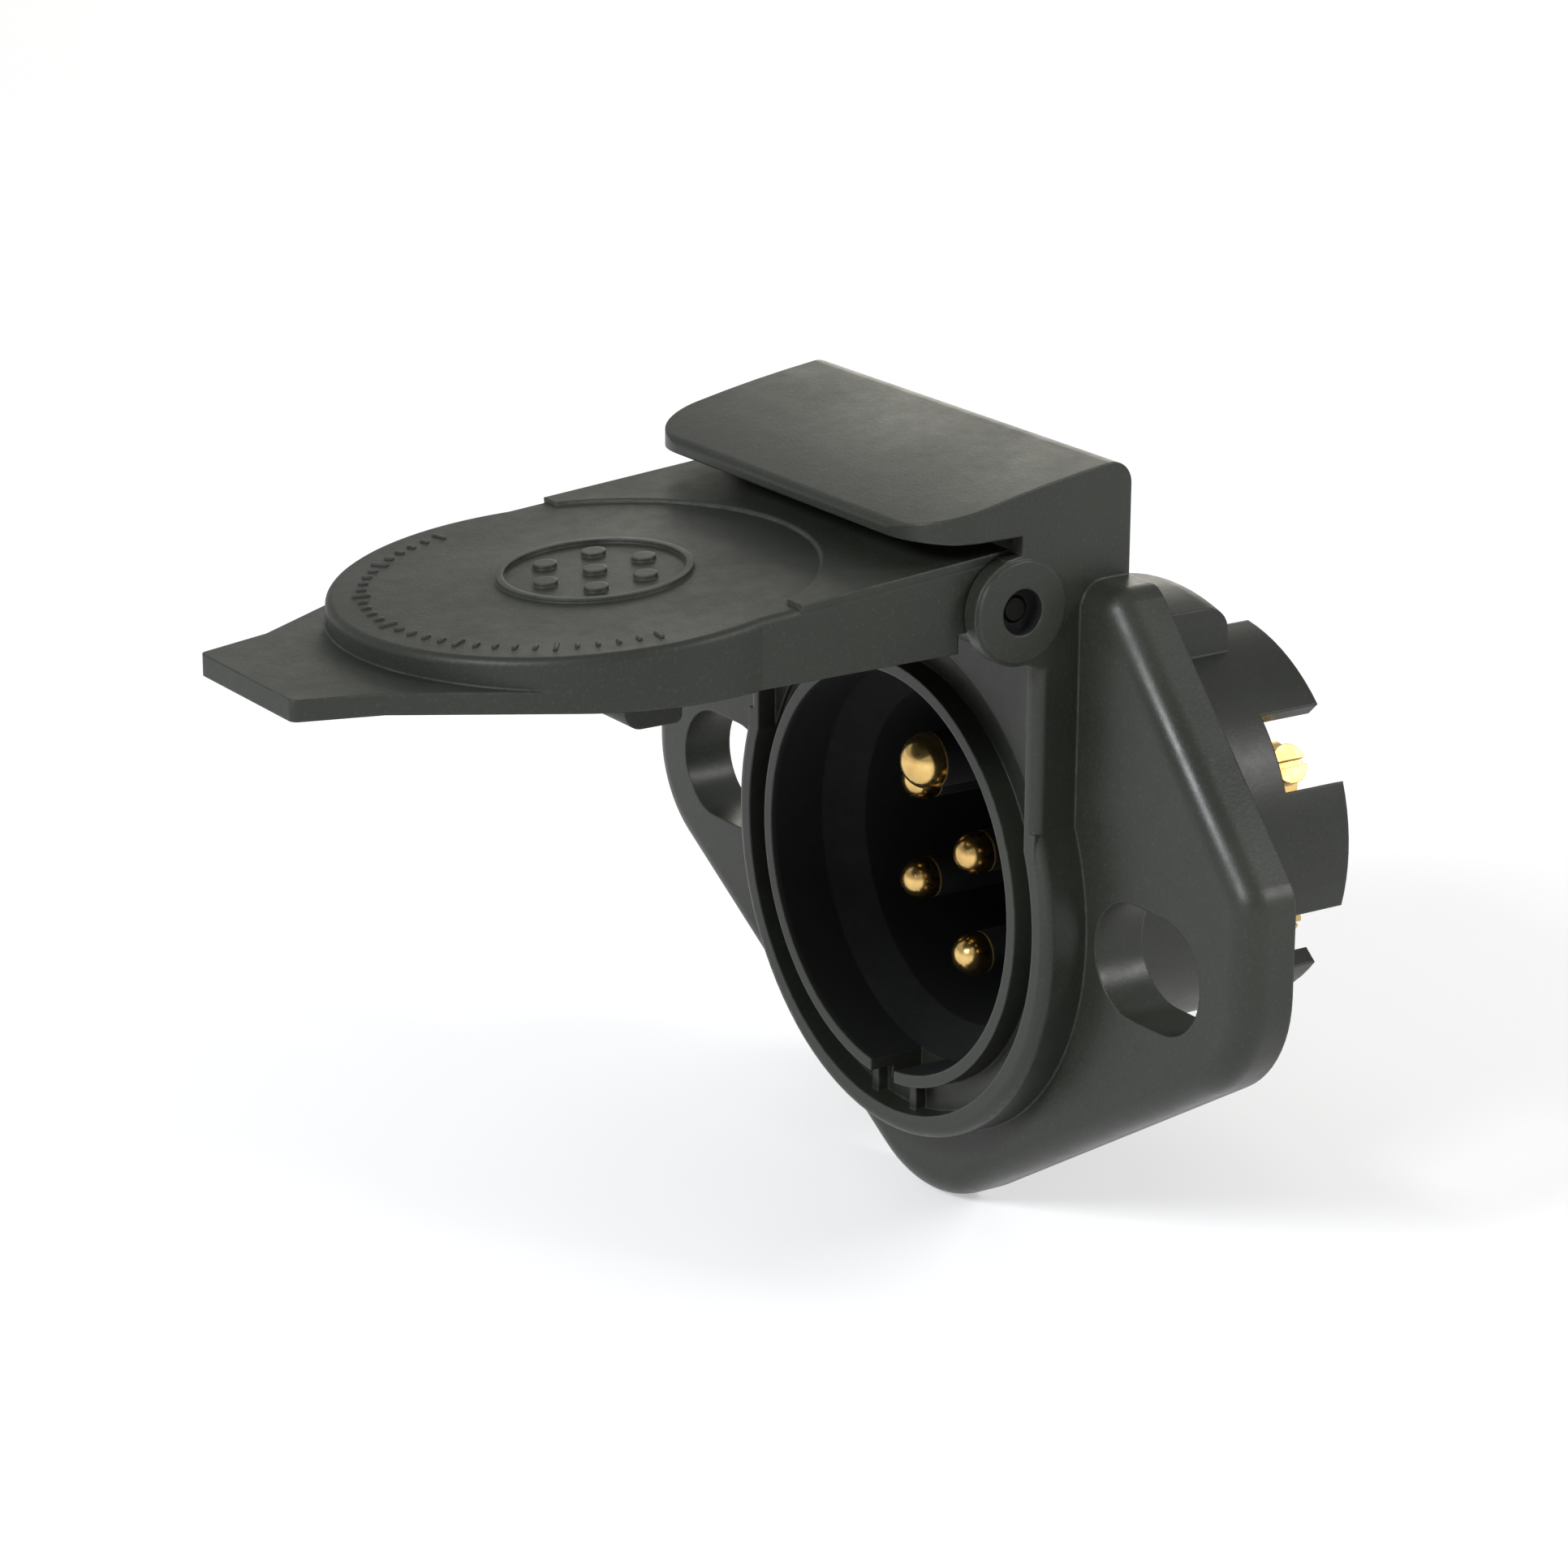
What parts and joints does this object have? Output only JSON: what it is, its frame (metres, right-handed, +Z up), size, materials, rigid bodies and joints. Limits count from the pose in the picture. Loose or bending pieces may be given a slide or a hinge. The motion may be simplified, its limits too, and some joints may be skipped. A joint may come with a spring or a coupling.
{
  "type": "trailer wiring socket",
  "caption": "Panel-mounted trailer wiring socket: an eared flange carries a round bore with brass contact pins, under a hood and a hinged flap lid.",
  "frame": {"origin": "centre of the flange's back face, on the axis of the socket's bore", "axes": "+X to the right facing the socket, +Y into the socket, +Z up"},
  "size_m": [0.1144, 0.1322, 0.0908],
  "materials": {
    "black_plastic": "moulded, fine grain",
    "seal_rubber": "matt",
    "steel": "drawn wire",
    "brass": "turned"
  },
  "bodies": {
    "housing": {"housing": "black_plastic", "contact_carrier": "black_plastic", "hinge_pin": "steel", "lid_spring": "steel", "ground_contact": "brass", "contact_centre": "brass", "contact_upper_right": "brass", "contact_lower_right": "brass", "contact_bottom": "brass", "contact_lower_left": "brass", "contact_upper_left": "brass"},
    "lid": {"lid": "black_plastic", "lid_seal": "seal_rubber"},
    "ground_screw": {"ground_screw": "brass"},
    "screw_centre": {"screw_centre": "brass"},
    "screw_upper_right": {"screw_upper_right": "brass"},
    "screw_lower_right": {"screw_lower_right": "brass"},
    "screw_bottom": {"screw_bottom": "brass"},
    "screw_lower_left": {"screw_lower_left": "brass"},
    "screw_upper_left": {"screw_upper_left": "brass"}
  },
  "joints": [
    {"name": "lid_hinge", "type": "hinge", "parent": "housing", "child": "lid", "pos_m": [0, -0.01395, 0.037], "axis": [1, 0, 0], "range_deg": [-12, 88], "deforming": ["lid_spring"]},
    {"name": "ground_screw_travel", "type": "slide", "parent": "housing", "child": "ground_screw", "axis": [0, 0, -1], "range_m": [0, 0.0016]},
    {"name": "screw_centre_travel", "type": "slide", "parent": "housing", "child": "screw_centre", "axis": [0, 0, -1], "range_m": [0, 0.0016]},
    {"name": "screw_upper_right_travel", "type": "slide", "parent": "housing", "child": "screw_upper_right", "axis": [-0.866, 0, -0.5], "range_m": [0, 0.0016]},
    {"name": "screw_lower_right_travel", "type": "slide", "parent": "housing", "child": "screw_lower_right", "axis": [-0.866, 0, 0.5], "range_m": [0, 0.0016]},
    {"name": "screw_bottom_travel", "type": "slide", "parent": "housing", "child": "screw_bottom", "axis": [0, 0, 1], "range_m": [0, 0.0016]},
    {"name": "screw_lower_left_travel", "type": "slide", "parent": "housing", "child": "screw_lower_left", "axis": [0.866, 0, 0.5], "range_m": [0, 0.0016]},
    {"name": "screw_upper_left_travel", "type": "slide", "parent": "housing", "child": "screw_upper_left", "axis": [0.866, 0, -0.5], "range_m": [0, 0.0016]}
  ]
}
